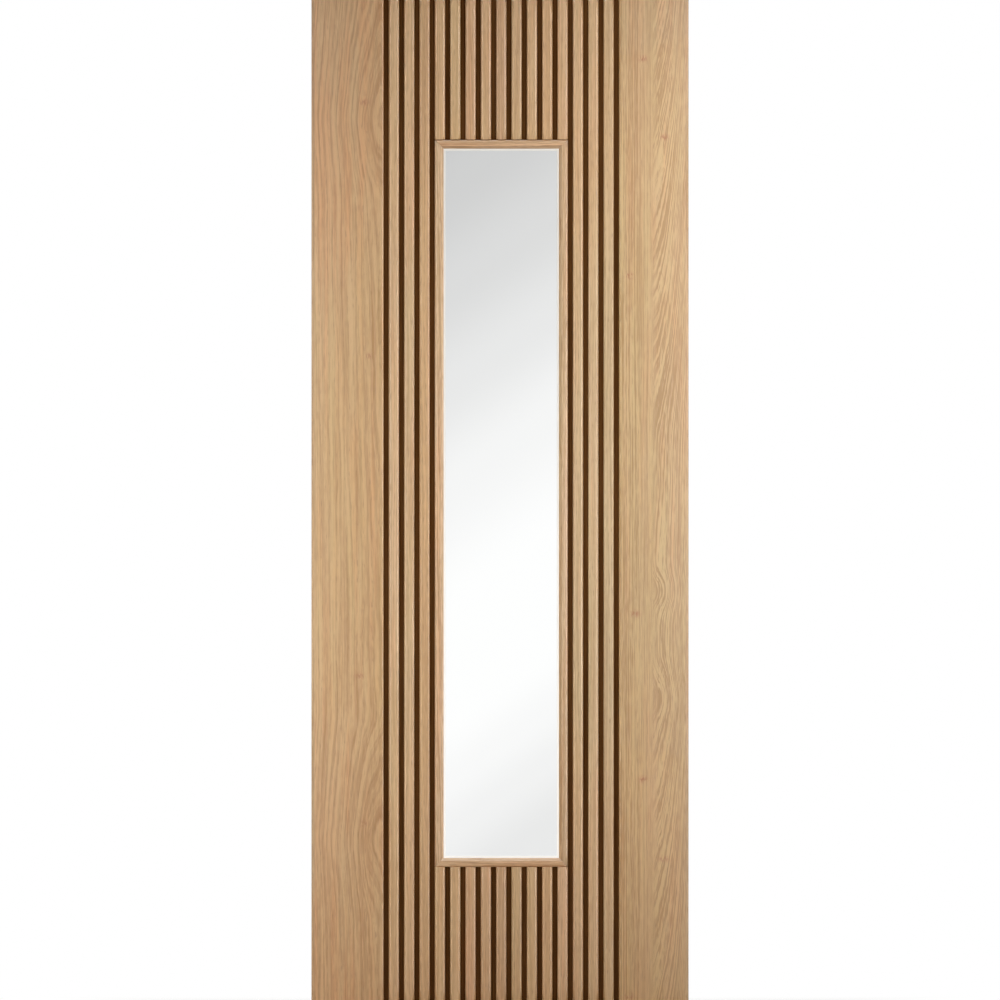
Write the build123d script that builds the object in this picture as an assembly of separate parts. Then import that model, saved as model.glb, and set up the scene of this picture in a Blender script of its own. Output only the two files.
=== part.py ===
"""Glazed oak interior door leaf with a slatted middle field on both faces.

The leaf stands on z = 0 with its hinge edge on x = 0 and its front face towards -y.
Sizes are in millimetres.
"""

import os

from build123d import *

# Leaf
door_width = 762.0
door_height = 2032.0
door_thickness = 35.0

# Layers, counted inwards from each face
face_thickness = 7.0  # oak stile panels and slats, and so the depth of the grooves
backing_thickness = 3.0  # dark board that floors the grooves
lipping_width = 6.0  # solid oak strip on each long edge
edge_radius = 1.5  # rounding of the lippings

# Slatted field
slat_width = 21.0
groove_width = 10.0
arris_radius = 3.5  # rounding of the oak beside a groove
slats_beside_pane = 3  # full-height slats on each side of the pane
slats_over_pane = 9  # short slats above the pane, and again below it
field_offset = 2.5  # how far the field sits from the centre line, towards the latch edge

# Pane and glazing beads
top_field_height = 288.0  # from the top of the leaf down to the beads
bottom_field_height = 274.5  # from the foot of the leaf up to the beads
bead_width = 18.0
bead_landing = 7.0  # outer part of a bead, which lies on the backing
bead_splay = 6.0  # chamfer round the sight opening
glass_thickness = 6.0
glass_edge_clearance = 3.0  # between the edge of the glass and the core
bead_clearance = 0.3  # between the inner leg of a bead and the core
mitre_joint = 0.3  # open joint between two mitred bead ends

# Tongue of the core in the groove of the stiles
tongue_thickness = 8.0
tongue_length = 10.0
tongue_clearance = 0.3

# Places along x
slat_pitch = slat_width + groove_width
slat_count = 2 * slats_beside_pane + slats_over_pane
field_width = slat_count * slat_pitch + groove_width
field_start = (door_width - field_width) / 2 + field_offset
field_end = field_start + field_width
frame_start = field_start + groove_width + slats_beside_pane * slat_pitch
frame_width = slats_over_pane * slat_pitch - groove_width
frame_end = frame_start + frame_width
frame_middle = (frame_start + frame_end) / 2
aperture_start = frame_start + bead_landing
aperture_end = frame_end - bead_landing

# Places along z
frame_foot = bottom_field_height
frame_head = door_height - top_field_height
frame_height = frame_head - frame_foot
aperture_foot = frame_foot + bead_landing
aperture_head = frame_head - bead_landing

# Places along y, on the front half of the leaf
front = -door_thickness / 2
face_back = front + face_thickness
core_front = face_back + backing_thickness
glass_front = -glass_thickness / 2


def slab(x_span, y_span, z_span):
    """A plain board between two places on each axis."""
    sizes = [high - low for low, high in (x_span, y_span, z_span)]
    corner = Pos(x_span[0], y_span[0], z_span[0])
    return corner * Box(*sizes, align=(Align.MIN, Align.MIN, Align.MIN))


def plan(x_span, y_span):
    """A rectangle in the plan of the leaf, seen from above."""
    width = x_span[1] - x_span[0]
    depth = y_span[1] - y_span[0]
    return Pos(x_span[0], y_span[0]) * Rectangle(width, depth, align=(Align.MIN, Align.MIN))


def corner_at(section, x, y):
    """The corner of a section nearest to a point of its plan."""
    return section.vertices().sort_by_distance((x, y, 0))[0]


def upright(section, z_span):
    """A section of the plan, carried up between two heights."""
    return Pos(0, 0, z_span[0]) * extrude(section, amount=z_span[1] - z_span[0])


def full_height():
    return (0, door_height)


def stile_core(outer, inner):
    """Core of a stile, ploughed along its inner edge for the tongue of the field's core."""
    y_span = (face_back, -face_back)
    towards_field = 1 if inner > outer else -1
    blank = plan(sorted((outer, inner)), y_span)
    plough_floor = inner - towards_field * (tongue_length + tongue_clearance)
    plough_half = tongue_thickness / 2 + tongue_clearance
    plough = plan(sorted((plough_floor, inner)), (-plough_half, plough_half))
    return upright(blank - plough, full_height())


def stile_panel(outer, inner):
    """Oak face of a stile, with its edge rounded beside the first groove."""
    section = plan(sorted((outer, inner)), (front, face_back))
    section = fillet(corner_at(section, inner, front), arris_radius)
    return upright(section, full_height())


def lipping(edge, inner):
    """Oak strip over the whole thickness of a long edge, rounded on both arrises."""
    section = plan(sorted((edge, inner)), (front, -front))
    arrises = [corner_at(section, edge, y) for y in (front, -front)]
    return upright(fillet(arrises, edge_radius), full_height())


def mullion(outer, inner):
    """Core beside the pane, with a tongue along the edge that meets the stile."""
    towards_stile = 1 if outer > inner else -1
    body = plan(sorted((outer, inner)), (core_front, -core_front))
    tip = outer + towards_stile * tongue_length
    tongue = plan(sorted((outer, tip)), (-tongue_thickness / 2, tongue_thickness / 2))
    return upright(body + tongue, full_height())


def slat(number, z_span):
    """One slat of the field, counted from the hinge edge, with both arrises rounded."""
    start = field_start + groove_width + number * slat_pitch
    end = start + slat_width
    section = plan((start, end), (front, face_back))
    arrises = [corner_at(section, x, front) for x in (start, end)]
    return upright(fillet(arrises, arris_radius), z_span)


def bead(length):
    """A mitred glazing bead along x, with its outer edge on z = 0 and the sight edge below.

    The section is rebated: its landing lies on the backing, and its inner leg reaches into
    the aperture as far as the glass.
    """
    leg = -(bead_landing + bead_clearance)
    section_points = [
        (front, 0),
        (front, bead_splay - bead_width),
        (front + bead_splay, -bead_width),
        (glass_front, -bead_width),
        (glass_front, leg),
        (face_back, leg),
        (face_back, 0),
    ]
    section = make_face(Polyline(*section_points, close=True))
    section = fillet(corner_at(section, front, 0), arris_radius)
    bar = extrude(Plane.YZ * section, amount=length / 2, both=True)
    reach = length / 2 - mitre_joint / 2**0.5
    for end in (-1, 1):
        mitre = Plane(origin=(end * reach, 0, 0), x_dir=(0, 1, 0), z_dir=(end, 0, -1))
        bar = split(bar, bisect_by=mitre, keep=Keep.BOTTOM)
    return bar


def core_parts():
    """The hidden frame of the leaf, which shows only at its top and foot."""
    rail_span = (aperture_start, aperture_end)
    core_span = (core_front, -core_front)
    return {
        "hinge_stile_core": stile_core(lipping_width, field_start),
        "latch_stile_core": stile_core(door_width - lipping_width, field_end),
        "hinge_side_mullion": mullion(field_start, aperture_start),
        "latch_side_mullion": mullion(field_end, aperture_end),
        "top_rail": slab(rail_span, core_span, (aperture_head, door_height)),
        "bottom_rail": slab(rail_span, core_span, (0, aperture_foot)),
    }


def edge_parts():
    """The oak lippings of the two long edges."""
    return {
        "hinge_edge_lipping": lipping(0, lipping_width),
        "latch_edge_lipping": lipping(door_width, door_width - lipping_width),
    }


def backing_parts():
    """The dark boards behind the grooves of one face, split at the edges of the aperture."""
    y_span = (face_back, core_front)
    middle = (aperture_start, aperture_end)
    return {
        "hinge_side_backing": slab((field_start, aperture_start), y_span, full_height()),
        "latch_side_backing": slab((aperture_end, field_end), y_span, full_height()),
        "top_backing": slab(middle, y_span, (aperture_head, door_height)),
        "bottom_backing": slab(middle, y_span, (0, aperture_foot)),
    }


def slat_parts():
    """The slats of one face: long ones beside the pane, short ones above and below it."""
    first_short = slats_beside_pane
    first_latch_side = slats_beside_pane + slats_over_pane
    beside = [*range(first_short), *range(first_latch_side, slat_count)]
    over = range(first_short, first_latch_side)
    parts = {}
    for order, number in enumerate(beside, start=1):
        parts[f"long_slat_{order}"] = slat(number, full_height())
    parts["top_slats"] = Compound([slat(n, (frame_head, door_height)) for n in over])
    parts["bottom_slats"] = Compound([slat(n, (0, frame_foot)) for n in over])
    return parts


def bead_parts():
    """The mitred frame of four beads that holds the glass on one face."""
    middle_height = (frame_foot + frame_head) / 2
    return {
        "bead_head": Pos(frame_middle, 0, frame_head) * bead(frame_width),
        "bead_sill": Pos(frame_middle, 0, frame_foot) * Rot(0, 180, 0) * bead(frame_width),
        "bead_hinge_side": Pos(frame_start, 0, middle_height) * Rot(0, -90, 0) * bead(frame_height),
        "bead_latch_side": Pos(frame_end, 0, middle_height) * Rot(0, 90, 0) * bead(frame_height),
    }


def stile_panel_parts():
    """The wide oak panels of one face."""
    return {
        "hinge_stile_panel": stile_panel(lipping_width, field_start),
        "latch_stile_panel": stile_panel(door_width - lipping_width, field_end),
    }


def face_parts():
    """Everything on one face of the leaf."""
    return {**stile_panel_parts(), **backing_parts(), **slat_parts(), **bead_parts()}


def glass_pane():
    """The single pane, held between the beads of the two faces."""
    return slab(
        (aperture_start + glass_edge_clearance, aperture_end - glass_edge_clearance),
        (glass_front, -glass_front),
        (aperture_foot + glass_edge_clearance, aperture_head - glass_edge_clearance),
    )


def door_parts():
    """Every piece of the leaf by name; the back face is the front one mirrored."""
    parts = {**core_parts(), **edge_parts(), "glass_pane": glass_pane()}
    for name, piece in face_parts().items():
        parts[f"front_{name}"] = piece
        parts[f"back_{name}"] = mirror(piece, about=Plane.XZ)
    return parts


os.makedirs("parts", exist_ok=True)
for name, piece in door_parts().items():
    export_step(piece, f"parts/{name}.step")
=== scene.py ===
# %% [markdown]
# A glazed oak door leaf
#
# The leaf is a slab of oak boards: two wide stiles, a field of narrow slats over a dark backing,
# and a tall pane held by mitred beads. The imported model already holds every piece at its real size.
# This lesson dresses it: each oak board is made again with fine rounded edges and with the growth
# rings of its own log, and then every board gets the same few shader groups with its own values.

import bpy
import numpy as np
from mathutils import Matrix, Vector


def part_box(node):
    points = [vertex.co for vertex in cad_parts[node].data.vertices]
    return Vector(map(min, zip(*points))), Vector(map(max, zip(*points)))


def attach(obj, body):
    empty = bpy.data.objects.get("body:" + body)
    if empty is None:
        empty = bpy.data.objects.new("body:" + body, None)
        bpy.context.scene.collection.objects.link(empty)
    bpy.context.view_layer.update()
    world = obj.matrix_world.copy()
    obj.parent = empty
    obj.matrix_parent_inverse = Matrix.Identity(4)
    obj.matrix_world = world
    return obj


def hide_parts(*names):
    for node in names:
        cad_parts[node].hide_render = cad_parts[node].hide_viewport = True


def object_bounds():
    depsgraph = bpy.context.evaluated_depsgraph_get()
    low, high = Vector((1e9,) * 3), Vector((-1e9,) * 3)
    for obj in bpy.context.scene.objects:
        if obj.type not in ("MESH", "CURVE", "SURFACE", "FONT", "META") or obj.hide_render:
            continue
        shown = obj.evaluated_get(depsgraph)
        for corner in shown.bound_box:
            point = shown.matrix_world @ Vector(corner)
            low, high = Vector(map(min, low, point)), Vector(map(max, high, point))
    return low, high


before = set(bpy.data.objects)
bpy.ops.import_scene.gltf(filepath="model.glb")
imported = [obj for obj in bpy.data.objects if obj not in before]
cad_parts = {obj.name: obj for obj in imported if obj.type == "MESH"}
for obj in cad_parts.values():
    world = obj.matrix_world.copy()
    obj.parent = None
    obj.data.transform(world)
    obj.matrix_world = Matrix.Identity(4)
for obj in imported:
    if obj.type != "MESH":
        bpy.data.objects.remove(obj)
cad_low, cad_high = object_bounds()
box = {name: np.array(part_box(name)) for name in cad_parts}
FACES = ("front", "back")
X, Y, Z = np.eye(3)

leaf_low = np.array(cad_low)
leaf_high = np.array(cad_high)
leaf_middle = (leaf_low + leaf_high) / 2
leaf_width, _, leaf_height = leaf_high - leaf_low

# %% [markdown]
# The camera
#
# The photo is a flat elevation: the grooves at the left and at the right look alike, so it was taken
# from far away. A very long lens gives that look, shows the floor almost edge on, and still works
# when the leaf is seen from other sides. The leaf is a little higher than the picture, whose edges
# cut off a few millimetres at the top and at the foot.

# %% Place the camera
LENS = 800.0
SENSOR = 36.0
LEAF_SHARE = 1.0055  # height of the leaf as a share of the picture's height

camera_data = bpy.data.cameras.new("elevation_camera")
camera_data.lens = LENS
camera_data.sensor_width = SENSOR
camera_data.clip_end = 500.0
camera = bpy.data.objects.new("elevation_camera", camera_data)
bpy.context.scene.collection.objects.link(camera)
bpy.context.scene.camera = camera
camera_distance = leaf_height / LEAF_SHARE * LENS / SENSOR
camera.location = (leaf_middle[0], leaf_low[1] - camera_distance, leaf_middle[2])
camera.rotation_euler = (np.pi / 2, 0.0, 0.0)
print("camera", round(camera_distance, 2), "m in front of the leaf")

# %% [markdown]
# Sections with eased edges
#
# Every board is one section carried along a straight line. The sharp corners of planed oak are
# always eased, and it is these small roundings that catch the light beside each groove. Bevel
# modifiers could do it, but a section that already has its arcs keeps the faces regular, and the
# same points can then carry the pattern of the wood.

# %% Section of a board
SECTION_STEP = 0.003  # longest piece of a straight run
ARC_PIECES = 6


def rounded_outline(corners, radii):
    """A closed outline of straight runs and round corners.

    A corner of angle a and radius r is cut back by r / tan(a / 2) along both its runs, and an arc
    about the point r / sin(a / 2) along its bisector joins them. The runs are then divided evenly
    into pieces no longer than the section's step. Returns the points, and whether the piece after
    each belongs to an arc.
    """
    corners = np.array(corners, float)
    radii = np.array(radii, float)
    towards_last = np.roll(corners, 1, axis=0) - corners
    towards_next = np.roll(corners, -1, axis=0) - corners
    towards_last /= np.linalg.norm(towards_last, axis=1)[:, None]
    towards_next /= np.linalg.norm(towards_next, axis=1)[:, None]
    half = np.arccos(np.clip((towards_last * towards_next).sum(1), -1, 1)) / 2
    cut = (radii / np.tan(half))[:, None]
    arc_start = corners + towards_last * cut
    arc_end = corners + towards_next * cut
    bisector = towards_last + towards_next
    bisector /= np.linalg.norm(bisector, axis=1)[:, None]
    centre = corners + bisector * (radii / np.sin(half))[:, None]
    points = []
    on_arc = []
    for i in range(len(corners)):
        if radii[i] > 0:
            first = np.arctan2(*(arc_start[i] - centre[i])[::-1])
            last = np.arctan2(*(arc_end[i] - centre[i])[::-1])
            turn = (last - first + np.pi) % (2 * np.pi) - np.pi
            angle = first + turn * np.linspace(0, 1, ARC_PIECES + 1)[:-1]
            points.append(centre[i] + radii[i] * np.stack([np.cos(angle), np.sin(angle)], 1))
            on_arc += [True] * ARC_PIECES
        run_start = arc_end[i]
        run_end = arc_start[(i + 1) % len(corners)]
        pieces = max(1, int(np.ceil(np.linalg.norm(run_end - run_start) / SECTION_STEP - 1e-9)))
        share = np.linspace(0, 1, pieces + 1)[:-1, None]
        points.append(run_start + (run_end - run_start) * share)
        on_arc += [False] * pieces
    return np.concatenate(points), np.array(on_arc)


def board_section(width, thickness, radii):
    """A rectangle with its first corner at 0, 0, its face on the first run, and rounded corners."""
    corners = [(0, 0), (width, 0), (width, thickness), (0, thickness)]
    return rounded_outline(corners, radii)


# %% [markdown]
# Boards that remember their log
#
# Wood looks right when each board keeps to one log: the rings on its face, its edges and its ends
# belong together. So every point of a board stores five things. The grain is its place in the
# board, shifted so that no two boards share their pores. The ring radius is its distance from the
# heart of the log, which the shader turns into rings. The tone says how warm and how light the
# board is, and how strongly its rings show. The knot says how near it is to a small knot, and the
# redness how much the oak has reddened.


# %% Carry a section along a line
def carry(section, span, stations, origin, axes, rings, look, shift):
    """One board, as arrays.

    Point (s, j) is origin + across_j A + deep_j D + (start_j + s (end_j - start_j)) L, where A, D
    and L are the axes across, into and along the board, s runs from 0 to 1 and j goes round the
    section. The span gives start and end, as numbers or, for a mitre, one for each point.
    """
    outline, on_arc = section
    count = len(outline)
    start, end = (np.broadcast_to(place, count) for place in span)
    along = start + (end - start) * np.linspace(0, 1, stations)[:, None]
    across = np.broadcast_to(outline[:, 0], along.shape)
    deep = np.broadcast_to(outline[:, 1], along.shape)
    local = np.stack([across, deep, along], axis=-1).reshape(-1, 3)

    row, column = np.meshgrid(np.arange(stations - 1), np.arange(count), indexing="ij")
    following = (column + 1) % count
    near_side = np.stack([row * count + column, row * count + following], axis=-1)
    quads = np.concatenate([near_side, near_side[..., ::-1] + count], axis=-1).reshape(-1, 4)
    caps = [np.arange(count)[::-1], np.arange(count) + (stations - 1) * count]
    following_point = np.roll(outline, -1, axis=0)
    area = (outline[:, 0] * following_point[:, 1] - outline[:, 1] * following_point[:, 0]).sum()
    if area * np.linalg.det(np.array(axes)) < 0:
        quads = quads[:, ::-1]
        caps = [cap[::-1] for cap in caps]

    tone, knot, redness = look(*local.T)
    return {
        "points": np.array(origin) + local @ np.array(axes),
        "quads": quads,
        "caps": caps,
        "smooth": np.tile(on_arc, stations - 1),
        "grain": local + shift,
        "ring_radius": rings(*local.T),
        "tone": tone,
        "knot": knot,
        "redness": redness,
    }


# %% Turn boards into a piece
LAYERS = {"grain": "vector", "tone": "vector"}
LAYERS |= {"ring_radius": "value", "knot": "value", "redness": "value"}


def make_piece(boards, finish, node):
    """One mesh from one or more boards that don't touch, standing for a node of the frame."""
    offsets = np.cumsum([0] + [len(board["points"]) for board in boards])
    points = np.concatenate([board["points"] for board in boards])
    quads = np.concatenate([board["quads"] + offset for board, offset in zip(boards, offsets)])
    caps = [(cap + offset).tolist() for board, offset in zip(boards, offsets) for cap in board["caps"]]
    mesh = bpy.data.meshes.new(f"{node}_oak")
    mesh.from_pydata(points.tolist(), [], quads.tolist() + caps)
    smooth = np.concatenate([board["smooth"] for board in boards] + [np.zeros(len(caps), bool)])
    mesh.polygons.foreach_set("use_smooth", smooth)
    for name, kind in LAYERS.items():
        values = np.concatenate([board[name] for board in boards]).astype(np.float32)
        layer = mesh.attributes.new(name, "FLOAT_VECTOR" if kind == "vector" else "FLOAT", "POINT")
        layer.data.foreach_set(kind, values.ravel())
    mesh.materials.append(oak_finishes[finish])
    mesh.update()
    piece = bpy.data.objects.new(f"{node}_oak", mesh)
    bpy.context.scene.collection.objects.link(piece)
    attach(piece, "root")
    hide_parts(node)
    return piece


# %% Tone along a board
ENDS_START = 0.35  # from the middle of the leaf, up and down
ENDS_GROW = 0.35  # over this height


def smooth_step(value):
    """0 below 0, 1 above 1, and 3 v^2 - 2 v^3 between."""
    value = np.clip(value, 0, 1)
    return value * value * (3 - 2 * value)


def near_ends(along):
    """1 near the top and the foot of the leaf, where the oak is redder, and 0 in the middle."""
    from_middle = np.abs(along - leaf_height / 2)
    return smooth_step((from_middle - ENDS_START) / ENDS_GROW)


def even_look(warmth, lightness, redness, strength, end_redness, end_shade=0.0):
    """The same tone all along a board, apart from its ends, and no knots.

    The redness is the larger of the board's own and that of its ends.
    """

    def look(across, deep, along):
        ends = near_ends(along)
        light = lightness - end_shade * ends
        tone = np.stack([np.full_like(across, warmth), light, np.full_like(across, strength)], axis=-1)
        return tone, np.zeros(len(across)), np.maximum(redness, end_redness * ends)

    return look


# %% [markdown]
# Shader groups
#
# Three effects are shared, so each is a node group. The first turns a ring radius into rings,
# pores, fibres and reddish streaks. The second mixes these masks into a colour. The third is a slow
# change of tone, long up the leaf and narrow across it.


# %% Small helpers for nodes
def srgb(red, green, blue):
    """A colour as a screen shows it, from 0 to 255, as the linear values that a shader takes."""
    screen = np.array([red, green, blue]) / 255
    linear = np.where(screen <= 0.04045, screen / 12.92, ((screen + 0.055) / 1.055) ** 2.4)
    return (*linear.tolist(), 1.0)


def feed(tree, socket, value):
    """Link a socket to another one, or set its own value."""
    if isinstance(value, bpy.types.NodeSocket):
        tree.links.new(value, socket)
    else:
        socket.default_value = value


def add_node(tree, kind, values=None, **settings):
    """Add a node, set its properties, then feed each named input."""
    made = tree.nodes.new(kind)
    for key, value in settings.items():
        setattr(made, key, value)
    for key, value in (values or {}).items():
        feed(tree, made.inputs[key], value)
    return made


def calc(tree, operation, first, second=0.0):
    """One step of arithmetic."""
    return add_node(tree, "ShaderNodeMath", {0: first, 1: second}, operation=operation).outputs[0]


def weigh(tree, *parts):
    """The sum of masks, each multiplied by its own weight."""
    total = 0.0
    for mask, weight in parts:
        made = add_node(tree, "ShaderNodeMath", {0: mask, 1: weight, 2: total}, operation="MULTIPLY_ADD")
        total = made.outputs[0]
    return total


def place_on(tree):
    """The place of each point in its piece's own coordinates."""
    return add_node(tree, "ShaderNodeTexCoord").outputs["Object"]


def parts_of(tree, vector):
    """The three parts of a vector."""
    return add_node(tree, "ShaderNodeSeparateXYZ", {0: vector}).outputs


def own_draw(tree, number):
    """A value and a colour that each whole number draws for itself."""
    values = {"W": calc(tree, "FLOOR", number)}
    return add_node(tree, "ShaderNodeTexWhiteNoise", values, noise_dimensions="1D").outputs


def scaled(tree, vector, across, deep, along):
    """A vector with each axis stretched by its own factor."""
    values = {0: vector, 1: (across, deep, along)}
    return add_node(tree, "ShaderNodeVectorMath", values, operation="MULTIPLY").outputs[0]


def brighten(tree, colour, factor):
    """A colour multiplied by a value."""
    values = {0: colour, "Scale": factor}
    return add_node(tree, "ShaderNodeVectorMath", values, operation="SCALE").outputs[0]


def noise(tree, vector, across, along, detail=0.0):
    """Smooth noise with so many changes to a metre, across and along a board."""
    stretched = scaled(tree, vector, across, across, along)
    values = {"Vector": stretched, "Scale": 1.0, "Detail": detail, "Roughness": 0.5}
    return add_node(tree, "ShaderNodeTexNoise", values).outputs["Fac"]


def rise(tree, value, low, high, to_low=0.0, to_high=1.0):
    """A value spread softly from one range to another, and clamped to it."""
    values = {0: value, 1: low, 2: high, 3: to_low, 4: to_high}
    return add_node(tree, "ShaderNodeMapRange", values, interpolation_type="SMOOTHSTEP").outputs[0]


def curve(tree, value, stops, smooth="B_SPLINE"):
    """A value read from a curve through (place, level) stops from 0 to 1."""
    made = add_node(tree, "ShaderNodeValToRGB", {"Fac": value})
    ramp = made.color_ramp
    ramp.interpolation = smooth
    ramp.elements.remove(ramp.elements[-1])
    for index, (place, level) in enumerate(stops):
        stop = ramp.elements.new(place) if index else ramp.elements[0]
        stop.position = place
        stop.color = (level, level, level, 1)
    return made.outputs["Color"]


def mix_colour(tree, mode, factor, first, second):
    """Two colours mixed."""
    made = add_node(tree, "ShaderNodeMix", data_type="RGBA", blend_type=mode)
    for index, value in ((0, factor), (6, first), (7, second)):
        feed(tree, made.inputs[index], value)
    return made.outputs[2]


def new_group(name, inputs, outputs):
    """An empty shader group with named sockets: its tree, its inputs and its results."""
    tree = bpy.data.node_groups.new(name, "ShaderNodeTree")
    for side, sockets in (("INPUT", inputs), ("OUTPUT", outputs)):
        for label, kind in sockets.items():
            tree.interface.new_socket(label, in_out=side, socket_type=f"NodeSocket{kind}")
    return tree, tree.nodes.new("NodeGroupInput").outputs, tree.nodes.new("NodeGroupOutput").inputs


def use_group(tree, group, values):
    """Place a group in a material and feed its inputs."""
    made = tree.nodes.new("ShaderNodeGroup")
    made.node_tree = group
    for key, value in values.items():
        feed(tree, made.inputs[key], value)
    return made.outputs


# %% Group: rings, pores, fibres and streaks of oak
YEAR_BEGINS = [(0.0, 0.7), (0.07, 1.0), (0.32, 0.3), (0.6, 0.0), (0.92, 0.0), (1.0, 0.7)]
YEAR_ENDS = [(0.0, 0.0), (0.4, 0.1), (0.72, 1.0), (0.95, 0.0)]
BROAD_WAVER = 0.010  # how far the broad noise moves a ring
FINE_WAVER = 0.0030


def oak_figure_group():
    """Masks of oak from a board's grain and ring radius.

    A ring's number is (radius + two noises) / ring width, moved by a noise of the radius itself, so
    that wide and narrow years follow each other. The fraction of that number is dark where a year
    begins and pale where it ends, by an amount that each year draws for itself, and a noise lets the
    lines fade and come back. Pores and reddish flushes are noises stretched along the board; the
    pores gather where a year begins. Fibres are two such noises: one takes the ring radius for its
    place across the board, so that it bends with the rings, and a shorter one runs straight.
    """
    tree, given, result = new_group(
        "oak_figure",
        {"Grain": "Vector", "Ring Radius": "Float", "Ring Width": "Float", "Strength": "Float"},
        {"Rings": "Float", "Late Wood": "Float", "Pores": "Float", "Fibre": "Float", "Flush": "Float"},
    )
    grain = given["Grain"]
    broad = calc(tree, "SUBTRACT", noise(tree, grain, 45, 3.2, 2.0), 0.5)
    fine = calc(tree, "SUBTRACT", noise(tree, grain, 150, 17, 1.5), 0.5)
    radius = calc(tree, "ADD", given["Ring Radius"], weigh(tree, (broad, BROAD_WAVER), (fine, FINE_WAVER)))
    values = {"W": calc(tree, "MULTIPLY", radius, 60.0), "Scale": 1.0, "Detail": 1.0}
    uneven = add_node(tree, "ShaderNodeTexNoise", values, noise_dimensions="1D").outputs["Fac"]
    number = calc(tree, "ADD", calc(tree, "DIVIDE", radius, given["Ring Width"]), uneven)
    year = calc(tree, "FRACT", number)
    own = own_draw(tree, number)["Value"]
    begins = curve(tree, year, YEAR_BEGINS, "EASE")
    ends = curve(tree, year, YEAR_ENDS)
    fades = rise(tree, noise(tree, grain, 130, 8, 1.0), 0.36, 0.62, 0.3, 1.0)
    lines = calc(tree, "MULTIPLY", fades, given["Strength"])
    dark = calc(tree, "MULTIPLY", begins, rise(tree, own, 0.0, 1.0, 0.3, 1.0))
    pale = calc(tree, "MULTIPLY", ends, rise(tree, own, 0.3, 1.0))
    tree.links.new(calc(tree, "MULTIPLY", dark, lines), result["Rings"])
    tree.links.new(calc(tree, "MULTIPLY", pale, lines), result["Late Wood"])

    pores = rise(tree, noise(tree, grain, 800, 60), 0.58, 0.72)
    gathered = rise(tree, begins, 0.1, 0.9, 0.35, 1.0)
    tree.links.new(calc(tree, "MULTIPLY", pores, gathered), result["Pores"])
    place = parts_of(tree, grain)
    bent = add_node(tree, "ShaderNodeCombineXYZ", {0: radius, 1: place[1], 2: place[2]}).outputs[0]
    bent_fibre = noise(tree, bent, 360, 3.0, 3.0)
    short_fibre = noise(tree, grain, 390, 34, 1.5)
    fibre = weigh(tree, (bent_fibre, 0.7), (short_fibre, 0.3))
    contrast = weigh(tree, (given["Strength"], 1.3), (1.0, 0.8))
    swing = calc(tree, "SUBTRACT", rise(tree, fibre, 0.34, 0.66), 0.5)
    tree.links.new(calc(tree, "ADD", calc(tree, "MULTIPLY", swing, contrast), 0.5), result["Fibre"])
    tree.links.new(rise(tree, noise(tree, grain, 80, 3.4, 1.0), 0.46, 0.68), result["Flush"])
    return tree


# %% Group: colour of oak
FIBRE_SHARE = 0.72
LATE_WOOD_SHARE = -0.5
PATCH_SHARE = 0.8
FLUSH_SHARE = 0.7
LEAST_REDNESS = 0.08
ROSE_REDNESS = 0.6
PORE_SHARE = 0.4
REDDENED = (1.06, 0.925, 0.84, 1)
STRAW_TINT = (0.985, 1.012, 0.905, 1)
ROSE_TINT = (1.02, 0.968, 0.965, 1)
PORE_BROWN = srgb(146, 103, 56)
KNOT_BROWN = srgb(158, 92, 46)


def oak_colour_group():
    """A colour from the masks of oak.

    The colour goes from pale to deep with rings and fibres, the flush and the redness redden it, and
    pores darken it. The tone multiplies it: its first part leans from straw to rose, and past that
    reddens as the flush does; its second part lightens. A knot's own brown takes over where it is.
    """
    tree, given, result = new_group(
        "oak_colour",
        {"Rings": "Float", "Late Wood": "Float", "Pores": "Float", "Fibre": "Float", "Flush": "Float"}
        | {"Patches": "Float", "Tone": "Vector", "Knot": "Float", "Redness": "Float"}
        | {"Pale": "Color", "Deep": "Color"},
        {"Color": "Color", "Height": "Float"},
    )
    depth = weigh(
        tree, (given["Rings"], 1.0), (given["Fibre"], FIBRE_SHARE), (given["Late Wood"], LATE_WOOD_SHARE)
    )
    colour = mix_colour(tree, "MIX", depth, given["Pale"], given["Deep"])
    reddened = mix_colour(tree, "MULTIPLY", 1.0, colour, REDDENED)
    tone = parts_of(tree, given["Tone"])
    lean = weigh(tree, (tone[0], 1.0), (given["Patches"], PATCH_SHARE), (-0.5, PATCH_SHARE))
    flush = calc(tree, "MULTIPLY", given["Flush"], rise(tree, lean, -1.0, 1.0, 0.25, 0.95))
    rosy = rise(tree, lean, 0.8, 2.0)
    fox = weigh(tree, (flush, FLUSH_SHARE), (rosy, ROSE_REDNESS), (given["Redness"], 1.0))
    foxy = calc(tree, "ADD", fox, LEAST_REDNESS)
    colour = mix_colour(tree, "MIX", foxy, colour, reddened)
    sunk = calc(tree, "MULTIPLY", given["Pores"], PORE_SHARE)
    colour = mix_colour(tree, "MIX", sunk, colour, PORE_BROWN)
    tint = mix_colour(tree, "MIX", rise(tree, lean, -1.0, 1.0), STRAW_TINT, ROSE_TINT)
    colour = mix_colour(tree, "MULTIPLY", 1.0, colour, tint)
    colour = brighten(tree, colour, calc(tree, "ADD", tone[1], 1.0))
    colour = mix_colour(tree, "MIX", given["Knot"], colour, KNOT_BROWN)
    tree.links.new(colour, result["Color"])
    tree.links.new(calc(tree, "SUBTRACT", 1.0, sunk), result["Height"])
    return tree


# %% Group: slow change
def patches_group():
    """A slow value from 0 to 1 that is long up the leaf and narrow across it."""
    tree, given, result = new_group("patches", {"Place": "Vector"}, {"Patches": "Float"})
    tree.links.new(rise(tree, noise(tree, given["Place"], 38, 2.1, 2.0), 0.3, 0.7), result["Patches"])
    return tree


oak_figure = oak_figure_group()
oak_colour = oak_colour_group()
patches = patches_group()
print("groups", [group.name for group in bpy.data.node_groups])

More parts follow.
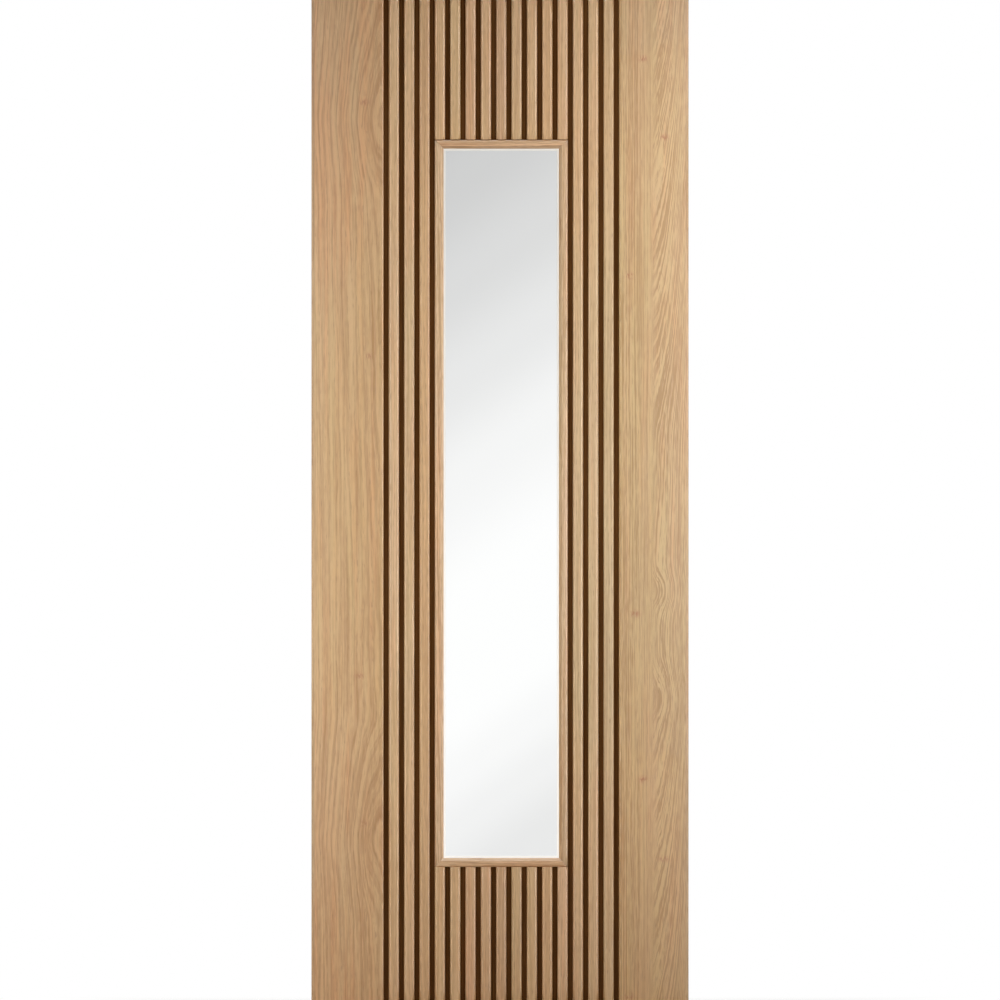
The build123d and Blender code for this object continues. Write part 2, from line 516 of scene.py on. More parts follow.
# %% [markdown]
# Oak finishes
#
# All the oak is lacquered to the same satin, but it isn't all the same board: the stiles show wide
# rings, the slats narrow ones, and the beads are paler. One function makes a finish from a few
# values, and the four finishes differ only in those.

# %% Oak materials
SATIN = 0.37  # roughness of the lacquer
DULL_PORES = 0.55
PORE_DEPTH = 0.0001


def new_material(name, roughness, specular):
    """A material with a Principled shader: the material, its tree and that shader's inputs."""
    material = bpy.data.materials.new(name)
    material.use_nodes = True
    shader = material.node_tree.nodes["Principled BSDF"].inputs
    shader["Roughness"].default_value = roughness
    shader["Specular IOR Level"].default_value = specular
    return material, material.node_tree, shader


def attribute(tree, name):
    """A layer that the board's points carry."""
    output = "Vector" if LAYERS[name] == "vector" else "Fac"
    return add_node(tree, "ShaderNodeAttribute", attribute_name=name).outputs[output]


def relief(tree, height, depth):
    """A normal from a height, for what is sunk in a surface."""
    return add_node(tree, "ShaderNodeBump", {"Height": height, "Distance": depth}).outputs[0]


def oak(name, pale, deep, ring_width):
    """Satin lacquered oak that follows a board's own grain."""
    material, tree, shader = new_material(name, 0.45, 0.4)
    grain = attribute(tree, "grain")
    tone = attribute(tree, "tone")
    own = {
        "Grain": grain,
        "Ring Radius": attribute(tree, "ring_radius"),
        "Ring Width": ring_width,
        "Strength": parts_of(tree, tone)[2],
    }
    masks = dict(use_group(tree, oak_figure, own).items())
    flecks = rise(tree, noise(tree, grain, 420, 130, 1.0), 0.38, 0.62)
    masks |= {"Tone": tone, "Knot": calc(tree, "MULTIPLY", attribute(tree, "knot"), flecks)}
    masks |= {"Patches": use_group(tree, patches, {"Place": grain})["Patches"]}
    masks |= {"Redness": attribute(tree, "redness")}
    colour = use_group(tree, oak_colour, masks | {"Pale": srgb(*pale), "Deep": srgb(*deep)})
    tree.links.new(colour["Color"], shader["Base Color"])
    tree.links.new(rise(tree, masks["Pores"], 0.0, 1.0, SATIN, DULL_PORES), shader["Roughness"])
    tree.links.new(relief(tree, colour["Height"], PORE_DEPTH), shader["Normal"])
    return material


oak_finishes = {
    "oak_panel": oak("oak_panel", (206, 171, 120), (171, 130, 76), 0.0078),
    "oak_slat": oak("oak_slat", (213, 180, 139), (179, 142, 97), 0.0056),
    "oak_bead": oak("oak_bead", (214, 182, 143), (183, 146, 103), 0.0050),
    "oak_lipping": oak("oak_lipping", (207, 171, 123), (175, 135, 84), 0.0050),
}
print("oak finishes", list(oak_finishes))

# %% [markdown]
# Stiles
#
# The stiles are the widest oak on the leaf, and so the place where the figure of the wood is read.
# In the photo the figure comes again after about 1.46 m. On the hinge side the rings bow round a
# long eye near the field. On the latch side they are straight on one side of a quiet heart, and on
# the other they run down the edge and bend in to end along the heart, with two eyes lower down.
# Both are a distance from the heart that drifts up and down the board: where the drift is least,
# the rings close round an eye, and where it rises steadily, they run out of the heart one by one.

# %% Figure of a stile
FIGURE_PERIOD = 1.457  # after this much height the figure comes again
EYE_HEART = 0.148  # from the outer edge of the panel
EYE_BLUNTNESS = 0.04
EYE_REACH = 0.14  # where the drift has lost a part
DRIFT_LOST = 0.6
SLOPE_HEART = 0.068
EYE_SHARE = 0.17  # place of the long eye in the period, from the top
EYE_DRIFT = [(0.0, 0.036), (EYE_SHARE, 0.0), (0.27, 0.020), (0.5, 0.026), (0.8, 0.034), (1.0, 0.036)]
SLOPE_CLIMB = [(0.0, 0.004), (0.03, 0.012), (0.6, 0.182), (0.74, 0.192), (0.79, 0.196)]
SLOPE_EYES = [(0.823, 0.176), (0.856, 0.196), (0.915, 0.198), (0.976, 0.170), (1.0, 0.182)]
DRIFT_WINDOW = np.linspace(-0.014, 0.014, 9)[:, None]


def drift_at(knots, along, turn):
    """Straight runs between (share of the period, value) knots, averaged over a short window.

    Each repeat starts at the value that the one before it ended with.
    """
    places, values = np.array(knots).T
    share = (leaf_height - along) / FIGURE_PERIOD + turn + DRIFT_WINDOW
    climb = np.floor(share) * (values[-1] - values[0])
    return (np.interp(share % 1, places, values) + climb).mean(0)


def eye_rings(turn):
    """The root of side^2 + bluntness^2, plus a drift that is less far out."""

    def rings(across, deep, along):
        side = across - EYE_HEART
        kept = 1 - DRIFT_LOST * smooth_step(np.abs(side) / EYE_REACH)
        return np.hypot(side, EYE_BLUNTNESS) + deep + drift_at(EYE_DRIFT, along, turn) * kept

    return rings


def slope_rings(turn):
    """On the outer side a side + b side^3 + drift, which is steep far out; on the inner side straight."""

    def rings(across, deep, along):
        side = SLOPE_HEART - across
        outer = 0.65 * side + 195 * side**3 + drift_at(SLOPE_CLIMB + SLOPE_EYES, along, turn)
        return np.where(side > 0, outer, -1.3 * side) + deep

    return rings


# %% Tone and knots of a stile
KNOT_ACROSS = 0.0085
KNOT_ALONG = 0.0055
END_REDNESS = 1.1


def knots_near(across, along, places, turn):
    """How near each point is to a small knot, from 0 to 1: a bell about each (across, down) place."""
    near = np.zeros(len(across))
    for side, down in places:
        share = (leaf_height - along - down) / FIGURE_PERIOD + turn
        gap = ((share + 0.5) % 1 - 0.5) * FIGURE_PERIOD
        near = np.maximum(near, np.exp(-(((across - side) / KNOT_ACROSS) ** 2) - (gap / KNOT_ALONG) ** 2))
    return near


def eye_look(warmth, lightness, turn):
    """Rings that are strongest round the eye and weak along the heart, with small knots."""
    knots = [(0.1005, 0.213), (0.1125, 0.725), (0.0923, 1.372)]

    def look(across, deep, along):
        share = (leaf_height - along) / FIGURE_PERIOD + turn - EYE_SHARE
        from_eye = np.abs((share + 0.5) % 1 - 0.5)
        near_eye = 1 - smooth_step((from_eye - 0.1) / 0.2)
        from_heart = smooth_step((np.abs(across - EYE_HEART) - 0.004) / 0.02)
        strength = 0.2 + (0.1 + 0.16 * near_eye) * from_heart
        red = warmth + END_REDNESS * near_ends(along)
        light = lightness - 0.03 * (1 - smooth_step((from_eye - 0.03) / 0.12))
        tone = np.stack([red, light, strength], axis=-1)
        return tone, 0.8 * knots_near(across, along, knots, turn), np.zeros_like(across)

    return look


def slope_look(warmth, lightness, turn):
    """Weak rings along the heart, strong ones where they end beside it, weak ones near the edge.

    The outer edge carries a little painted shade near the ends of the leaf. The foot is darker, leans to
    straw and has more red in it, and the head has less.
    """
    knots = [(0.0861, 0.124), (0.0437, 0.284), (0.1143, 0.563), (0.1022, 1.246)]

    def look(across, deep, along):
        side = SLOPE_HEART - across
        outer = smooth_step((side - 0.006) / 0.01) * (1 - 0.5 * smooth_step((side - 0.03) / 0.03))
        inner = 0.65 * smooth_step((-side - 0.018) / 0.012)
        strength = 0.3 + 1.6 * outer + inner
        foot = smooth_step((0.85 - along) / 0.3)
        head = smooth_step((along - 1.3) / 0.3)
        red = warmth - 0.45 * foot + 0.5 * END_REDNESS * near_ends(along)
        # Painted shade: the outer edge is darker near the top and the foot of the leaf.
        edge = near_ends(along) * smooth_step((0.03 - across) / 0.03)
        light = lightness - 0.022 * foot - 0.07 * edge
        tone = np.stack([red, light, strength], axis=-1)
        return tone, 1.1 * knots_near(across, along, knots, turn), 0.45 * foot - 0.2 * head

    return look


# %% Stile panels
ARRIS = 0.0042  # rounding of the oak beside a groove
STILE_STEP = 0.005  # between two stations along a stile
random = np.random.default_rng(11)


def random_shift():
    """A place in the log that no other board has."""
    return random.uniform(-40, 40, 3)


def stile_panel(node, outer_is_left, rings, look):
    """The wide board of a stile, measured from its outer edge, with a rounded edge at the field."""
    low, high = box[node]
    width, thickness = (high - low)[:2]
    is_front = low[1] < 0
    across = X if outer_is_left else -X
    deep = Y if is_front else -Y
    origin = (low[0] if outer_is_left else high[0], low[1] if is_front else high[1], 0)
    board = carry(
        board_section(width, thickness, [0, ARRIS, 0, 0]),
        (low[2], high[2]),
        int(leaf_height / STILE_STEP),
        origin,
        (across, deep, Z),
        rings,
        look,
        random_shift(),
    )
    return make_piece([board], "oak_panel", node)


stiles = [
    stile_panel("front_hinge_stile_panel", True, eye_rings(0), eye_look(0.25, 0.0, 0)),
    stile_panel("front_latch_stile_panel", False, slope_rings(0), slope_look(-0.25, -0.032, 0)),
    stile_panel("back_hinge_stile_panel", True, slope_rings(0.37), slope_look(-0.3, 0.0, 0.37)),
    stile_panel("back_latch_stile_panel", False, eye_rings(0.55), eye_look(0.2, 0.0, 0.55)),
]
print("stile panels", [(piece.name, len(piece.data.polygons)) for piece in stiles])

# %% [markdown]
# Slats
#
# The slats are ripped from many boards, so each has its own tone: some straw, some rose, some pale.
# The short ones above and below the pane come from the same boards in the same order. Their rings
# are nearly straight, because a narrow strip sees little of the log's curve.

# %% Slat tones and straight rings
SLAT_TONES = {  # warmth, lightness, redness
    "straw": (-0.6, 0.06, 0.0),
    "sand": (-0.3, -0.01, 0.0),
    "dun": (-0.5, -0.05, 0.0),
    "umber": (-0.7, -0.065, 0.0),
    "rose": (0.4, 0.02, 0.0),
    "dusky": (0.5, -0.07, 0.0),
    "pale": (0.0, 0.05, 0.0),
    "honey": (0.2, 0.01, 0.0),
    "amber": (-0.3, -0.02, 1.0),
}
SLAT_RINGS = 0.15  # strength of the rings
SLAT_END_REDNESS = 0.5
RING_BOW = 0.002
BOW_LENGTH = 0.85
SLAT_ORDER = "pale pale amber pale straw rose honey dusky dun sand amber rose sand sand umber".split()


def straight_rings():
    """Rings of a narrow strip: distance from a heart that leans and bows a little up the board."""
    heart = random.uniform(0.05, 0.11)
    below = random.uniform(0.015, 0.06)
    lean = random.normal(0, 0.006)
    turn = random.uniform(0, 2 * np.pi)

    def rings(across, deep, along):
        bow = RING_BOW * np.sin(along * 2 * np.pi / BOW_LENGTH + turn)
        return np.hypot(across - heart - lean * along - bow, deep + below)

    return rings


print(len(SLAT_TONES), "tones for", len(SLAT_ORDER), "slats")

# %% Long and short slats
slat_low, slat_high = box["front_long_slat_1"]
slat_width, slat_thickness = (slat_high - slat_low)[:2]
slat_pitch = box["front_long_slat_2"][0][0] - slat_low[0]
SLAT_SECTION = board_section(slat_width, slat_thickness, [ARRIS, ARRIS, 0, 0])
HEAD_GAP = 0.0007  # open joint between the short slats and the head bead
LONG_STATIONS = 80
SHORT_STATIONS = 14


def slat_number(x):
    """Which slat starts at a place, counted from the hinge edge."""
    return int(round((x - slat_low[0]) / slat_pitch))


def slat(number, node, span, stations):
    """One slat on the face that the node belongs to."""
    low, high = box[node]
    is_front = low[1] < 0
    origin = (slat_low[0] + number * slat_pitch, low[1] if is_front else high[1], 0)
    axes = (X, Y if is_front else -Y, Z)
    look = even_look(*SLAT_TONES[SLAT_ORDER[number]], SLAT_RINGS, SLAT_END_REDNESS)
    return carry(SLAT_SECTION, span, stations, origin, axes, straight_rings(), look, random_shift())


def long_slat(node):
    """A slat beside the pane, from the foot to the top of the leaf."""
    low, high = box[node]
    board = slat(slat_number(low[0]), node, (low[2], high[2]), LONG_STATIONS)
    return make_piece([board], "oak_slat", node)


def short_slats(node, foot_gap):
    """The slats above or below the pane."""
    low, high = box[node]
    numbers = range(slat_number(low[0]), slat_number(high[0] - slat_width) + 1)
    span = (low[2] + foot_gap, high[2])
    boards = [slat(number, node, span, SHORT_STATIONS) for number in numbers]
    return make_piece(boards, "oak_slat", node)


slats = []
for face in FACES:
    slats += [long_slat(f"{face}_long_slat_{order}") for order in range(1, 7)]
    slats.append(short_slats(f"{face}_top_slats", HEAD_GAP))
    slats.append(short_slats(f"{face}_bottom_slats", 0.0))

# %% [markdown]
# Glazing beads
#
# Four beads with mitred ends frame the pane on each face. A bead's section is rebated: the outer
# part lies on the backing, and a leg reaches in to the glass. Round the sight opening it is splayed,
# and those slopes are lit or shaded by the light from the upper right; on top of that, shade is
# painted on the head's slope and a little painted light on the hinge side's. Each bead is carried
# along its own length, with ends that follow the section, which is what makes a mitre.

# %% Bead section
bead_low, bead_high = box["front_bead_hinge_side"]
bead_width, bead_depth = (bead_high - bead_low)[:2]
BEAD_LANDING = 0.0073
BEAD_SPLAY = 0.006
BEAD_EASING = 0.0008
BEAD_RINGS = 0.8  # strength of the rings
BEAD_STATIONS = 60
SLOPE_STARTS = bead_width - BEAD_SPLAY
# The slope's lightness is painted shade on the head and a little painted light on the hinge side.
BEAD_TONES = {  # warmth, lightness, lightness of the slope, redness
    "head": (0.0, 0.0, -0.28, 0.3),
    "sill": (0.3, 0.03, 0.03, 0.3),
    "hinge_side": (0.3, 0.10, 0.14, 0.0),
    "latch_side": (0.3, 0.02, 0.02, 0.0),
}
BEAD_SECTION = rounded_outline(
    [
        (0, 0),
        (SLOPE_STARTS, 0),
        (bead_width, BEAD_SPLAY),
        (bead_width, bead_depth),
        (BEAD_LANDING, bead_depth),
        (BEAD_LANDING, slat_thickness),
        (0, slat_thickness),
    ],
    [ARRIS, BEAD_EASING, BEAD_EASING, 0, 0, 0, 0],
)


def bead_look(warmth, lightness, painted_slope_light, redness):
    """One tone on the flat of a bead and another on its slope, which carries painted shade or light."""

    def look(across, deep, along):
        on_slope = across > SLOPE_STARTS
        # Painted shade or light on the slope: darker on the head, a little lighter on the hinge side.
        light = np.where(on_slope, painted_slope_light, lightness)
        tone = np.stack([np.full_like(across, warmth), light, np.full_like(across, BEAD_RINGS)], axis=-1)
        return tone, np.zeros(len(across)), np.full_like(across, redness)

    return look


print("bead section of", len(BEAD_SECTION[0]), "points")


# %% Beads
def bead(node, across, along):
    """A mitred bead whose ends step in by as much as the section goes across."""
    low, high = box[node]
    middle = (low + high) / 2
    is_front = middle[1] < 0
    reach = np.abs((high - low) @ along) / 2 - BEAD_SECTION[0][:, 0]
    outer = np.where(across > 0, low, high)
    origin = np.where(np.abs(across) > 0, outer, middle)
    origin[1] = low[1] if is_front else high[1]
    axes = (across, Y if is_front else -Y, along)
    look = bead_look(*BEAD_TONES[node.split("_bead_")[1]])
    span = (-reach, reach)
    rings = straight_rings()
    board = carry(BEAD_SECTION, span, BEAD_STATIONS, origin, axes, rings, look, random_shift())
    return make_piece([board], "oak_bead", node)


BEAD_AXES = {"head": (-Z, X), "sill": (Z, X), "hinge_side": (X, Z), "latch_side": (-X, Z)}
bead_places = [(face, place) for face in FACES for place in BEAD_AXES]
beads = [bead(f"{face}_bead_{place}", *BEAD_AXES[place]) for face, place in bead_places]

# %% [markdown]
# Glazing gasket
#
# A pale gasket lines the opening between the beads and the glass. Its front edge shows all round the
# pane as a fine white line, brightened by a painted glow. It is a closed ring: a small section carried
# round a rectangle, whose four corners stand on the diagonals.

# %% Gasket round the sight opening
GASKET_WIDTH = 0.004
GASKET_EASING = 0.0005
GASKET_GAP = 0.00005  # to the bead's slope and to the glass
# Strength of the gasket's painted glow, its emission, at a low and at a high place.
GASKET_PAINTED_GLOW = (0.3, 1.7, 0.56, 0.3)  # from a low to a high place, and the light at each


def gasket_ring(face):
    """A small section carried round a rectangle.

    Point (c, j) stands at corner c, moved by across_j along both sides that meet there, and by
    out_j away from the glass.
    """
    sides = {place: box[f"{face}_bead_{place}"] for place in BEAD_AXES}
    glass_low, glass_high = box["glass_pane"]
    is_front = face == "front"
    glass_face = glass_low[1] - GASKET_GAP if is_front else glass_high[1] + GASKET_GAP
    outwards = -1 if is_front else 1
    reach = bead_depth - BEAD_SPLAY - 2 * GASKET_GAP
    width, eased = GASKET_WIDTH, GASKET_WIDTH - GASKET_EASING
    across = np.array([0, width, width, eased, 0])
    out = np.array([0, 0, reach - GASKET_EASING, reach, reach])
    left, right = sides["hinge_side"][1][0], sides["latch_side"][0][0]
    foot, top = sides["sill"][1][2], sides["head"][0][2]
    corners = np.array([(left, foot), (right, foot), (right, top), (left, top)])
    inwards = np.array([(1, 1), (-1, 1), (-1, -1), (1, -1)])
    flat = corners[:, None] + inwards[:, None] * across[None, :, None]
    depth = np.broadcast_to(glass_face + outwards * out, flat.shape[:2])
    points = np.stack([flat[..., 0], depth, flat[..., 1]], axis=-1).reshape(-1, 3)

    count = len(across)
    corner, place = np.meshgrid(np.arange(4), np.arange(count), indexing="ij")
    here, there = corner * count, (corner + 1) % 4 * count
    following = (place + 1) % count
    quads = np.stack([here + place, here + following, there + following, there + place], axis=-1)
    quads = quads.reshape(-1, 4)
    mesh = bpy.data.meshes.new(f"{face}_glazing_gasket")
    mesh.from_pydata(points.tolist(), [], (quads if is_front else quads[:, ::-1]).tolist())
    mesh.materials.append(gasket_finish)
    ring = bpy.data.objects.new(f"{face}_glazing_gasket", mesh)
    bpy.context.scene.collection.objects.link(ring)
    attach(ring, "root")
    return ring


def gasket_material():
    """Milky rubber with a painted glow: an emission that is a little stronger towards the floor."""
    material, tree, shader = new_material("milky_gasket", 0.5, 0.4)
    place = place_on(tree)
    cloud = noise(tree, place, 120, 40, 2.0)
    colour = mix_colour(tree, "MIX", cloud, srgb(182, 178, 170), srgb(174, 169, 160))
    tree.links.new(colour, shader["Base Color"])
    height = parts_of(tree, place)[2]
    # Painted glow: emission stands in for light, stronger towards the floor.
    painted_glow = rise(tree, height, *GASKET_PAINTED_GLOW)
    tree.links.new(painted_glow, shader["Emission Strength"])
    shader["Emission Color"].default_value = (1.0, 0.97, 0.92, 1)
    return material


gasket_finish = gasket_material()
gaskets = [gasket_ring(face) for face in FACES]
print("gaskets", [piece.name for piece in gaskets])

# %% [markdown]
# Lippings
#
# A strip of solid oak covers each long edge, so that the edge can be planed to fit. It shows as a
# narrow line beside each stile and over the whole edge.

# %% Edge lippings
EDGE_ROUNDING = 0.0015


def edge_lipping(node, across):
    """The strip over a long edge, rounded on its two outer corners."""
    low, high = box[node]
    width, thickness = (high - low)[:2]
    section = board_section(width, thickness, [EDGE_ROUNDING, 0, 0, EDGE_ROUNDING])
    origin = (low[0] if across[0] > 0 else high[0], low[1], 0)
    look = even_look(0.1, -0.10, 0.0, strength=0.8, end_redness=0.0, end_shade=0.08)
    span = (low[2], high[2])
    axes = (across, Y, Z)
    rings = straight_rings()
    board = carry(section, span, LONG_STATIONS, origin, axes, rings, look, random_shift())
    return make_piece([board], "oak_lipping", node)


lippings = [edge_lipping("hinge_edge_lipping", X), edge_lipping("latch_edge_lipping", -X)]
print("lippings", [piece.name for piece in lippings])

# %% [markdown]
# Backing, core and glass
#
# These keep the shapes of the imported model, so they only get finishes. The backing is a board
# stained dark brown. The core shows only at the top and the foot, as glued staves with their end
# grain. The glass is clear, with the faintest unevenness.

# %% Dark backing
FIBRE_DEPTH = 0.0002


def backing_material():
    """Dark stained board with fine upright fibres."""
    material, tree, shader = new_material("brown_backing", 0.8, 0.0)
    place = place_on(tree)
    fibre = rise(tree, noise(tree, place, 700, 9, 2.0), 0.3, 0.75)
    slow = use_group(tree, patches, {"Place": place})["Patches"]
    depth = weigh(tree, (fibre, 0.6), (slow, 0.4))
    colour = mix_colour(tree, "MIX", depth, srgb(72, 43, 17), srgb(100, 66, 34))
    tree.links.new(colour, shader["Base Color"])
    tree.links.new(relief(tree, fibre, FIBRE_DEPTH), shader["Normal"])
    return material


# %% Core of staves
STAVE_WIDTH = 0.031
CORE_RING_WIDTH = 0.0034
GLUE_SHARE = 0.02  # width of a glue line as a share of a stave


def core_material():
    """Glued staves: each takes its own tone and its own rings about its own heart."""
    material, tree, shader = new_material("core_timber", 0.7, 0.25)
    place = place_on(tree)
    staves = calc(tree, "DIVIDE", parts_of(tree, place)[0], STAVE_WIDTH)
    own = own_draw(tree, staves)
    shift = scaled(tree, own["Color"], 0.06, 0.05, 3.0)
    from_heart = add_node(tree, "ShaderNodeVectorMath", {0: place, 1: shift}, operation="ADD").outputs[0]
    flat = scaled(tree, from_heart, 1, 1, 0.02)
    radius = add_node(tree, "ShaderNodeVectorMath", {0: flat}, operation="LENGTH").outputs["Value"]
    values = {"Grain": from_heart, "Ring Radius": radius, "Ring Width": CORE_RING_WIDTH, "Strength": 0.9}
    figure = use_group(tree, oak_figure, values)
    colour = mix_colour(tree, "MIX", figure["Rings"], srgb(214, 184, 142), srgb(178, 138, 94))
    colour = brighten(tree, colour, rise(tree, own["Value"], 0.0, 1.0, 0.86, 1.06))
    wood = calc(tree, "GREATER_THAN", calc(tree, "FRACT", staves), GLUE_SHARE)
    colour = brighten(tree, colour, rise(tree, wood, 0.0, 1.0, 0.72, 1.0))
    tree.links.new(colour, shader["Base Color"])
    tree.links.new(relief(tree, figure["Fibre"], FIBRE_DEPTH), shader["Normal"])
    return material


# %% Glass
def glass_material():
    """Clear float glass."""
    material, tree, shader = new_material("clear_glass", 0.0, 0.5)
    shader["Base Color"].default_value = (0.99, 0.997, 0.993, 1)
    shader["Transmission Weight"].default_value = 1.0
    shader["IOR"].default_value = 1.46
    place = place_on(tree)
    film = noise(tree, place, 9, 5, 3.0)
    tree.links.new(rise(tree, film, 0.45, 0.8, 0.0, 0.03), shader["Roughness"])
    return material


def dress(material, nodes):
    """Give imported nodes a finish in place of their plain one."""
    for node in nodes:
        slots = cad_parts[node].data.materials
        slots.clear()
        slots.append(material)


backing_nodes = [name for name in box if name.endswith("backing")]
core_nodes = [name for name in box if name.endswith(("core", "mullion", "rail"))]
dress(backing_material(), backing_nodes)
dress(core_material(), core_nodes)
dress(glass_material(), ["glass_pane"])
print("dressed", len(backing_nodes), "backings,", len(core_nodes), "core pieces and the pane")

# %% [markdown]
# Surroundings
#
# The ground is white. The world gives an even, weak fill, but it is white to the camera, in gloss
# and through glass. The floor is white too, apart from a soft shadow close to the leaf. What is seen
# through the pane is a wide backdrop that only the glass shows: grey above, white in the middle and
# pale grey at the foot, with the greys leaning from side to side as in the photo.

# %% World
FILL = 0.15


def directly_seen(tree):
    """1 for rays that show the surroundings: from the camera, in gloss and through glass."""
    path = add_node(tree, "ShaderNodeLightPath").outputs
    seen = calc(tree, "MAXIMUM", path["Is Camera Ray"], path["Is Glossy Ray"])
    return calc(tree, "MAXIMUM", seen, path["Is Transmission Ray"])


world = bpy.data.worlds.new("white_surroundings")
bpy.context.scene.world = world
world.use_nodes = True
sky = world.node_tree.nodes["Background"].inputs
sky["Color"].default_value = (1, 1, 1, 1)
level = rise(world.node_tree, directly_seen(world.node_tree), 0.0, 1.0, FILL, 1.0)
world.node_tree.links.new(level, sky["Strength"])
bpy.context.scene.view_settings.view_transform = "Standard"
print("world", world.name, "with a fill of", FILL)

# %% Floor
FLOOR_REACH = 6.0
FLOOR_Z = -0.0005
FLOOR_WHITE = (0.03, 0.6, 0.6, 1.0)  # from near to far, and the share of plain white at each


def stage_sheet(name, corners, material):
    """A flat four-cornered sheet that isn't part of the leaf."""
    mesh = bpy.data.meshes.new(name)
    mesh.from_pydata(corners, [], [(0, 1, 2, 3)])
    mesh.materials.append(material)
    sheet = bpy.data.objects.new(name, mesh)
    bpy.context.scene.collection.objects.link(sheet)
    return sheet


def floor_material():
    """White paper that shows a shadow beside the leaf and is plain white further off."""
    material, tree, shader = new_material("pale_floor", 0.9, 0.0)
    shader["Base Color"].default_value = (0.9, 0.9, 0.9, 1)
    place = place_on(tree)
    parts = parts_of(tree, place)
    from_middle = calc(tree, "ABSOLUTE", calc(tree, "SUBTRACT", parts[0], float(leaf_middle[0])))
    beside = calc(tree, "MAXIMUM", calc(tree, "SUBTRACT", from_middle, float(leaf_width / 2)), 0.0)
    away = calc(tree, "MAXIMUM", beside, calc(tree, "ABSOLUTE", parts[1]))
    far = rise(tree, away, *FLOOR_WHITE)
    white = calc(tree, "MULTIPLY", far, directly_seen(tree))
    paper = tree.nodes["Principled BSDF"].outputs[0]
    plain = add_node(tree, "ShaderNodeEmission").outputs[0]
    mixed = add_node(tree, "ShaderNodeMixShader", {0: white, 1: paper, 2: plain}).outputs[0]
    tree.links.new(mixed, tree.nodes["Material Output"].inputs["Surface"])
    return material


floor_corners = [(-1, -1), (1, -1), (1, 1), (-1, 1)]
floor_points = [(x * FLOOR_REACH, y * FLOOR_REACH, FLOOR_Z) for x, y in floor_corners]
floor = stage_sheet("floor", floor_points, floor_material())
print("floor", 2 * FLOOR_REACH, "m wide")

# %% Backdrop behind the pane
BACKDROP_Y = 0.7
BACKDROP_LEFT = -5.0
BACKDROP_RIGHT = 6.0
BACKDROP_HEIGHT = 3.0
BACKDROP_TOP = 2.0  # of the greys
BACKDROP_LEAN = 0.7  # how far the greys climb for each metre across
BACKDROP_GREYS = [  # height in metres, light
    (0.28, 0.81),
    (0.41, 0.89),
    (0.51, 0.95),
    (0.63, 1.0),
    (0.87, 1.0),
    (1.12, 0.92),
    (1.32, 0.805),
    (1.52, 0.70),
    (1.73, 0.61),
    (1.86, 0.57),
]


def backdrop_material():
    """Plain light whose grey follows the height, less a lean across."""
    material, tree, _ = new_material("pale_backdrop", 1.0, 0.0)
    place = place_on(tree)
    parts = parts_of(tree, place)
    across = calc(tree, "SUBTRACT", parts[0], float(leaf_middle[0]))
    height = calc(tree, "SUBTRACT", parts[2], calc(tree, "MULTIPLY", across, BACKDROP_LEAN))
    share = calc(tree, "DIVIDE", height, BACKDROP_TOP)
    grey = curve(tree, share, [(z / BACKDROP_TOP, light) for z, light in BACKDROP_GREYS], "EASE")
    light = add_node(tree, "ShaderNodeEmission", {"Color": grey, "Strength": 1.0}).outputs[0]
    tree.links.new(light, tree.nodes["Material Output"].inputs["Surface"])
    return material


backdrop_points = [
    (BACKDROP_LEFT, BACKDROP_Y, 0.0),
    (BACKDROP_RIGHT, BACKDROP_Y, 0.0),
    (BACKDROP_RIGHT, BACKDROP_Y, BACKDROP_HEIGHT),
    (BACKDROP_LEFT, BACKDROP_Y, BACKDROP_HEIGHT),
]
backdrop = stage_sheet("backdrop", backdrop_points, backdrop_material())
backdrop.visible_camera = False
backdrop.visible_diffuse = False
backdrop.visible_glossy = False
backdrop.visible_shadow = False
print("stage", [piece.name for piece in (floor, backdrop)])

# %% [markdown]
# Lamps
#
# The photo is brightest at the upper right and darker at the ends of the leaf, so a tall lamp stands
# before each long edge, the stronger one at the right. A third lamp, further off on the left, reaches
# into the grooves. A weak one lights the right edge, and three more the back, the top and the left
# edge, which the front view doesn't show. Lacquer also mirrors narrow bright things. Four strips
# that give no other light draw the fine lines on the rounded arrises.


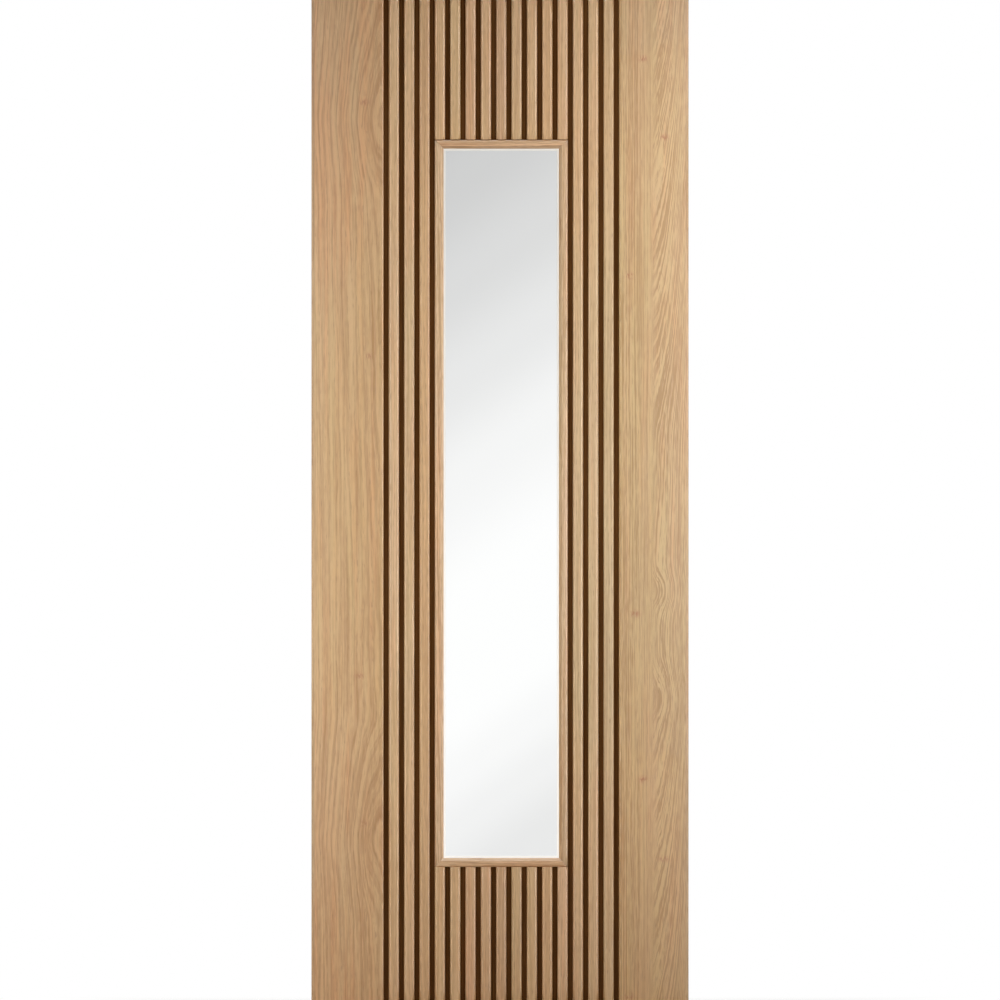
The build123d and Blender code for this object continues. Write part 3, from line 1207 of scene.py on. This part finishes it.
# %% Soft lamps
def soft_lamp(name, place, aim, size, power):
    """A lamp of so wide and so high that looks at a point; only its light is seen, not itself."""
    data = bpy.data.lights.new(name, "AREA")
    data.shape = "RECTANGLE"
    data.size, data.size_y = size
    data.energy = power
    lamp = bpy.data.objects.new(name, data)
    bpy.context.scene.collection.objects.link(lamp)
    lamp.location = place
    lamp.rotation_euler = (Vector(aim) - Vector(place)).to_track_quat("-Z", "Y").to_euler()
    lamp.visible_camera = False
    lamp.visible_transmission = False
    return lamp


soft_lamp("left_front_lamp", (-0.26, -0.71, 0.99), (-0.26, 0.0, 0.99), (0.4, 1.34), 3.55)
soft_lamp("right_front_lamp", (0.97, -0.90, 1.42), (0.97, 0.0, 1.42), (0.4, 1.90), 9.3)
soft_lamp("groove_lamp", (-1.5, -2.2, 1.1), (0.38, 0.0, 1.1), (0.3, 2.2), 6.2)
soft_lamp("edge_lamp", (2.6, -0.6, 1.25), (0.4, 0.0, 1.25), (0.4, 2.0), 3.5)
soft_lamp("back_lamp", (0.1, 2.0, 1.4), (0.38, 0.0, 1.1), (1.2, 1.2), 30.0)
soft_lamp("top_lamp", (0.38, 0.4, 4.0), (0.38, 0.0, 2.0), (1.0, 0.6), 22.0)
soft_lamp("left_lamp", (-2.4, 1.0, 1.3), (0.0, 0.0, 1.1), (0.5, 1.6), 22.0)
for name in ("left_front_lamp", "right_front_lamp", "groove_lamp", "back_lamp", "top_lamp"):
    bpy.data.objects[name].visible_glossy = False
print("soft lamps", [light.name for light in bpy.data.lights])

# %% Strips that only shine in the lacquer
gloss_strips = [
    soft_lamp("right_strip", (1.1, -1.15, 1.1), (0.4, 0.0, 1.1), (0.3, 2.6), 46.0),
    soft_lamp("left_strip", (-0.34, -1.15, 1.1), (0.36, 0.0, 1.1), (0.3, 2.6), 32.0),
    soft_lamp("side_strip", (2.4, -0.5, 1.1), (0.3, 0.0, 1.1), (0.3, 2.6), 38.0),
    soft_lamp("over_strip", (0.38, -0.5, 3.6), (0.38, 0.0, 0.3), (1.2, 0.4), 45.0),
]
for strip in gloss_strips:
    strip.visible_diffuse = False
print("strips", [strip.name for strip in gloss_strips])
